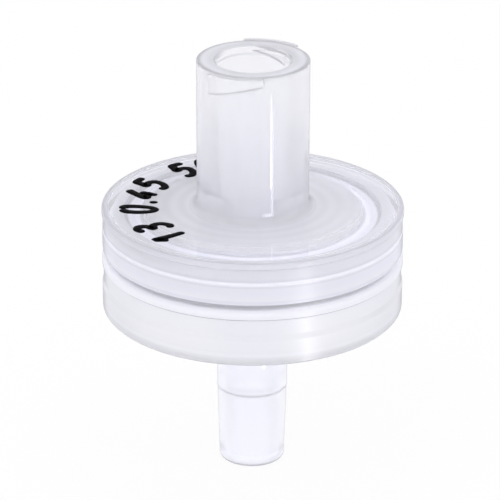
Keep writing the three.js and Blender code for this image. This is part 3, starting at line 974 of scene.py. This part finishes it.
class FILTER_OT_build_outlet_shell(bpy.types.Operator):
    """Make the lower shell: seat, support grid, cored underside, stem and luer slip"""
    bl_idname = "filter.build_outlet_shell"
    bl_label = "Outlet shell"

    def execute(self, context):
        size, finish, radii = settings().outlet, settings().finish, shared_radii()
        bottom = size.slip_length + size.stem_length
        shoulder = bottom + size.side_height
        channel_floor = SEAT_Z - size.grid_height
        underside = channel_floor - size.floor
        slip_root = (size.tip_diameter + size.slip_taper * size.slip_length) / 2
        stem = slip_root + size.stem_step
        bore_top = (size.bore - size.bore_draft * channel_floor) / 2
        drain = bore_top + size.funnel_width
        wall_radius = HOUSING_RADIUS - size.band_step
        band = bottom + size.band_height
        shoulder_band = shoulder - size.shoulder_band
        recess = HOUSING_RADIUS - size.wall
        tongue_top = CEILING_Z - 2 * CONTACT_GAP
        wall = recess + OUTLET_WALL_DEPTH
        outline = [
            (size.bore / 2, 0.0, SOFT),
            (size.tip_diameter / 2, 0.0, size.tip_rounding),
            (slip_root, size.slip_length, KEEN),
            (stem, size.slip_length + size.stem_step, KEEN),
            (stem, underside, size.recess_fillet),
            (recess, underside, size.recess_fillet),
            (recess, bottom, BROAD),
            (HOUSING_RADIUS, bottom, size.bottom_rounding),
            (HOUSING_RADIUS, band, CRISP),
            (wall_radius, band + STEP_SLOPE * size.band_step, CRISP),
            (wall_radius, shoulder_band - size.band_step, CRISP),
            (HOUSING_RADIUS, shoulder_band, CRISP),
            (HOUSING_RADIUS, shoulder, size.shoulder_rounding),
            (radii["tongue_out"], shoulder, FINE),
            (radii["tongue_out"], tongue_top, SOFT),
            (radii["tongue_in"], tongue_top, SOFT),
            (radii["tongue_in"], SEAT_Z, CRISP),
            (radii["chamber"], SEAT_Z, FINE),
            (radii["chamber"], channel_floor, SOFT),
            (drain, channel_floor, FINE),
            (bore_top, channel_floor - size.funnel_depth, SOFT),
        ]
        material = clear_plastic(
            "outlet_clear_plastic", finish.outlet_tone, finish.outlet_cloud,
            {"Wall_Radius": wall, "Neck_Radius": NECK_SHARE * size.tip_diameter,
             "Shoulder_Height": bottom + THIN_MARGIN / 2, "End_Height": MARGIN, "Fade": TIP_FADE},
            ("Outlet cloud", outlet_cloud_and_shade_group),
            {"Wall_Radius": wall, "Bottom_Height": bottom + THIN_MARGIN,
             "Shoulder_Height": shoulder - THIN_MARGIN},
        )
        room = radii["chamber"] - drain
        rings = max(1, math.floor(room / size.grid_pitch))
        grid = shared_group("Support grid", support_grid_group)
        shell = turned_piece("outlet_shell", grid, rounded_outline(outline), {
            "Facets": SHELL_FACETS,
            "Rail Radius": stem,
            "Rings": rings,
            "Channels": size.channel_count,
            "Inner Radius": drain,
            "Pitch": room / rings,
            "Ring Width": size.grid_width,
            "Channel Width": size.channel_width,
            "Bottom": channel_floor - GRID_ROOT,
            "Top": SEAT_Z,
            "Material": material,
        })
        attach(shell, "root")
        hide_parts("outlet_housing")
        return {"FINISHED"}


class FILTER_OT_build_membrane_disc(bpy.types.Operator):
    """Make the filter disc that lies on the support grid"""
    bl_idname = "filter.build_membrane_disc"
    bl_label = "Membrane disc"

    def execute(self, context):
        size, pitch = settings().membrane, settings().outlet.grid_pitch
        chamber = shared_radii()["chamber"]
        low, high = SEAT_Z + CONTACT_GAP, CLAMP_Z - CONTACT_GAP
        upper = []
        for step in range(DISC_STEPS + 1):
            radius = chamber * step / DISC_STEPS
            dip = size.sag * 0.5 * (1.0 - math.cos(math.tau * radius / pitch))
            upper.append((radius, high - dip))
        edge = [(MEMBRANE_RADIUS - DISC_EDGE, low), (MEMBRANE_RADIUS, low + CRISP),
                (MEMBRANE_RADIUS, high - CRISP), (MEMBRANE_RADIUS - DISC_EDGE, high)]
        points = [Vector(point) for point in [(0.0, low)] + edge + upper[::-1]]
        disc = turned_piece("membrane_disc", None, points, {
            "Facets": DISC_FACETS,
            "Rail Radius": MEMBRANE_RADIUS / 2,
            "Material": membrane_paper(size.tone, size.bump),
        })
        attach(disc, "root")
        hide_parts("filter_membrane")
        return {"FINISHED"}


# Centre lines of the numerals on a unit height, each a list of strokes.
NUMERALS = {
    "0": [[(0.25, 1.0), (0.08, 0.88), (0.02, 0.5), (0.08, 0.12), (0.25, 0.0), (0.42, 0.12),
           (0.48, 0.5), (0.42, 0.88), (0.25, 1.0)]],
    "1": [[(0.06, 0.76), (0.18, 0.86), (0.29, 1.0), (0.29, 0.66), (0.29, 0.33), (0.29, 0.0)]],
    "3": [[(0.05, 0.9), (0.24, 1.0), (0.42, 0.87), (0.4, 0.65), (0.2, 0.54), (0.43, 0.42),
           (0.48, 0.18), (0.26, 0.0), (0.02, 0.1)]],
    "4": [[(0.36, 1.0), (0.18, 0.66), (0.0, 0.3), (0.26, 0.29), (0.52, 0.29)],
          [(0.37, 0.58), (0.36, 0.29), (0.35, 0.0)]],
    "5": [[(0.46, 1.0), (0.28, 1.0), (0.11, 0.99), (0.08, 0.78), (0.06, 0.58), (0.26, 0.63),
           (0.46, 0.5), (0.48, 0.2), (0.28, 0.0), (0.02, 0.08)]],
    ".": [[(-0.06, 0.02), (0.07, 0.02), (0.2, 0.02)]],
}
ADVANCE, NARROW_ADVANCE = 0.86, {".": 0.38, " ": 0.66}  # from one mark to the next


class FILTER_OT_build_printed_numbers(bpy.types.Operator):
    """Print plain numerals round the top face"""
    bl_idname = "filter.build_printed_numbers"
    bl_label = "Printed numbers"

    def execute(self, context):
        size = settings().printing
        line_height = size.height - size.stroke
        points, edges, pen = [], [], 0.0
        for mark in size.numbers:
            for stroke in NUMERALS.get(mark, []):
                first = len(points)
                for x, y in stroke:
                    points.append(((pen + x + size.slant * y) * line_height, y * line_height, 0.0))
                edges += [(i, i + 1) for i in range(first, len(points) - 1)]
            pen += NARROW_ADVANCE.get(mark, ADVANCE)
        drawn = bpy.data.meshes.new("drawn_numbers")
        drawn.from_pydata(points, edges, [])
        ink = grow("printed_numbers", ink_tree(), drawn, {
            "Stroke": size.stroke,
            "Thickness": 2 * size.thickness,
            "Start": size.start,
            "Foot Radius": size.inner_radius + size.stroke / 2,
            "Middle Radius": size.inner_radius + size.height / 2,
            "Level": CEILING_Z + settings().inlet.top_plate,
            "Material": printing_ink(size.ink),
        })
        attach(ink, "root")
        return {"FINISHED"}


# ---- stage

# Soft square lamps as (name, place, side, setting that holds its power).
LAMPS = (
    ("key_lamp", (-0.30, -0.25, 0.42), 0.30, "key_power"),
    ("fill_lamp", (0.40, -0.20, 0.25), 0.40, "fill_power"),
    ("top_lamp", (0.0, 0.15, 0.55), 0.50, "top_power"),
)
LAMP_AIM = Vector((0.0, 0.0, 14 * MM))
STRIP_SIZE = (1.5 * MM, 52 * MM)
STRIP_DISTANCE, STRIP_HEIGHT = 40 * MM, 1 * MM
BOUNCES = {
    "max_bounces": 64, "transmission_bounces": 48, "glossy_bounces": 48, "diffuse_bounces": 16,
    "transparent_max_bounces": 24,
}
FLOOR_REACH, FLOOR_SIDES, FLOOR_Z = 3.0, 48, -0.01 * MM
FLOOR_GREY = (0.9, 0.9, 0.9, 1.0)
WHITE_FADE = 1.6  # how much wider than the white table top its fading edge is
HORIZON = (0.1, 0.38)  # heights between which the surround gives way to the white room
SENSOR_WIDTH = 36.0
CLIP = (0.001, 20.0)


def area_lamp(name, place, turned, size, power):
    """A soft rectangular lamp that shows only by its light."""
    lamp = bpy.data.lights.new(name, "AREA")
    lamp.shape = "RECTANGLE"
    lamp.size, lamp.size_y = size
    lamp.energy = power
    holder = bpy.data.objects.new(name, lamp)
    holder.location = place
    holder.rotation_euler = turned
    holder.visible_camera = False
    holder.visible_glossy = False
    holder.visible_transmission = False
    bpy.context.scene.collection.objects.link(holder)
    return holder


class FILTER_OT_build_studio(bpy.types.Operator):
    """Make the floor, the lamps and the camera"""
    bl_idname = "filter.build_studio"
    bl_label = "Studio"

    def execute(self, context):
        scene, studio = context.scene, settings().studio
        self.room(scene, studio)
        self.floor(scene, studio)
        self.lamps(studio)
        self.camera(scene, studio)
        scene.view_settings.view_transform = "Standard"
        for name, most in BOUNCES.items():
            setattr(scene.cycles, name, most)
        scene.cycles.caustics_reflective = True
        scene.cycles.caustics_refractive = True
        scene.cycles.use_denoising = True
        return {"FINISHED"}

    def rays(self, tree):
        """Two masks: 1 for camera rays, and 1 for rays mirrored or bent by a surface."""
        light = tree.node("LightPath")
        return light.outputs["Is Camera Ray"], tree.most(light.outputs["Is Glossy Ray"],
                                                         light.outputs["Is Transmission Ray"])

    def shown(self, tree, shader, seen, tone):
        """A shader that is white for the camera and has the given grey for all other rays."""
        tone = tree.blend(seen, tone, 1.0)
        return tree.node(shader, Strength=1.0, Color=tree.point(tone, tone, tone))

    def room(self, scene, studio):
        scene.world = bpy.data.worlds.new("studio")
        tree = ShaderTree(scene.world)
        seen, bent = self.rays(tree)
        height = tree.parts(tree.node("TexCoord").outputs["Generated"])[2]
        surround = tree.ease(height, *HORIZON, studio.surround, 1.0)
        plain = tree.node("Background", Color=(studio.room,) * 3 + (1.0,), Strength=1.0)
        white = self.shown(tree, "Background", seen, surround)
        tree.node("OutputWorld", Surface=layered(tree, tree.most(seen, bent), plain, white))

    def floor(self, scene, studio):
        mesh = bpy.data.meshes.new("floor")
        angles = [math.tau * i / FLOOR_SIDES for i in range(FLOOR_SIDES)]
        mesh.from_pydata([(FLOOR_REACH * math.cos(a), FLOOR_REACH * math.sin(a), FLOOR_Z)
                          for a in angles], [], [list(range(FLOOR_SIDES))])
        floor = bpy.data.objects.new("floor", mesh)
        scene.collection.objects.link(floor)
        material, tree, place = new_material("floor_white")
        seen, bent = self.rays(tree)
        reach, _ = tree.from_axis(place)
        surround = tree.ease(reach, studio.white_reach, WHITE_FADE * studio.white_reach,
                             1.0, studio.surround)
        pale = tree.node("BsdfDiffuse", Color=FLOOR_GREY)
        glow = self.shown(tree, "Emission", seen, surround)
        lit = layered(tree, tree.times(tree.most(seen, bent), studio.floor_glow), pale, glow)
        # clear from below, so that the underside can be looked at
        below = tree.node("NewGeometry").outputs["Backfacing"]
        whole = layered(tree, below, lit, tree.node("BsdfTransparent"))
        tree.node("OutputMaterial", Surface=whole)
        mesh.materials.append(material)

    def lamps(self, studio):
        for name, place, side, power in LAMPS:
            turned = (LAMP_AIM - Vector(place)).to_track_quat("-Z", "Y").to_euler()
            area_lamp(name, place, turned, (side, side), getattr(studio, power))
        # the upright strip only shows as a streak that the walls mirror
        way = Vector((math.sin(studio.strip_turn), -math.cos(studio.strip_turn), 0.0))
        strip = area_lamp("strip_lamp", way * STRIP_DISTANCE + Vector((0.0, 0.0, STRIP_HEIGHT)),
                          (0.0, math.pi, studio.strip_turn), STRIP_SIZE, studio.strip_power)
        strip.visible_glossy = True
        strip.visible_diffuse = False

    def camera(self, scene, studio):
        lens = bpy.data.cameras.new("camera")
        lens.lens = studio.camera_lens
        lens.sensor_width = SENSOR_WIDTH
        lens.clip_start, lens.clip_end = CLIP
        holder = bpy.data.objects.new("camera", lens)
        aim = Vector((studio.aim_side, 0.0, studio.aim_height))
        rise = studio.camera_elevation
        away = Vector((0.0, -math.cos(rise), math.sin(rise)))
        holder.location = aim + studio.camera_distance * away
        roll = Euler((0.0, 0.0, studio.camera_roll)).to_quaternion()
        holder.rotation_euler = ((-away).to_track_quat("-Z", "Y") @ roll).to_euler()
        scene.collection.objects.link(holder)
        scene.camera = holder


# ---- add-on

class FilterSettings(bpy.types.PropertyGroup):
    """Everything that can be changed about the syringe filter."""
    inlet: bpy.props.PointerProperty(type=InletSizes)
    outlet: bpy.props.PointerProperty(type=OutletSizes)
    membrane: bpy.props.PointerProperty(type=MembraneSizes)
    printing: bpy.props.PointerProperty(type=PrintSettings)
    finish: bpy.props.PointerProperty(type=Finishes)
    studio: bpy.props.PointerProperty(type=StudioSettings)


OPERATORS = (
    FILTER_OT_build_inlet_shell,
    FILTER_OT_build_membrane_disc,
    FILTER_OT_build_outlet_shell,
    FILTER_OT_build_printed_numbers,
    FILTER_OT_build_studio,
)


class FILTER_PT_sidebar(bpy.types.Panel):
    """Lists the filter's pieces and their settings"""
    bl_idname = "FILTER_PT_sidebar"
    bl_label = "Syringe Filter"
    bl_space_type = "VIEW_3D"
    bl_region_type = "UI"
    bl_category = "Filter"

    def draw(self, context):
        layout = self.layout
        for operator in OPERATORS:
            layout.operator(operator.bl_idname)
        for name in FilterSettings.__annotations__:
            group = getattr(settings(), name)
            box = layout.box()
            box.label(text=name.capitalize())
            for key in type(group).__annotations__:
                box.prop(group, key)


CLASSES = (
    InletSizes, OutletSizes, MembraneSizes, PrintSettings, Finishes, StudioSettings,
    FilterSettings, *OPERATORS, FILTER_PT_sidebar,
)


def register():
    for each in CLASSES:
        bpy.utils.register_class(each)
    bpy.types.Scene.syringe_filter = bpy.props.PointerProperty(type=FilterSettings)


def unregister():
    del bpy.types.Scene.syringe_filter
    for each in reversed(CLASSES):
        bpy.utils.unregister_class(each)


def main():
    register()
    for operator in OPERATORS:
        family, action = operator.bl_idname.split(".")
        getattr(getattr(bpy.ops, family), action)()


if __name__ == "__main__":
    main()
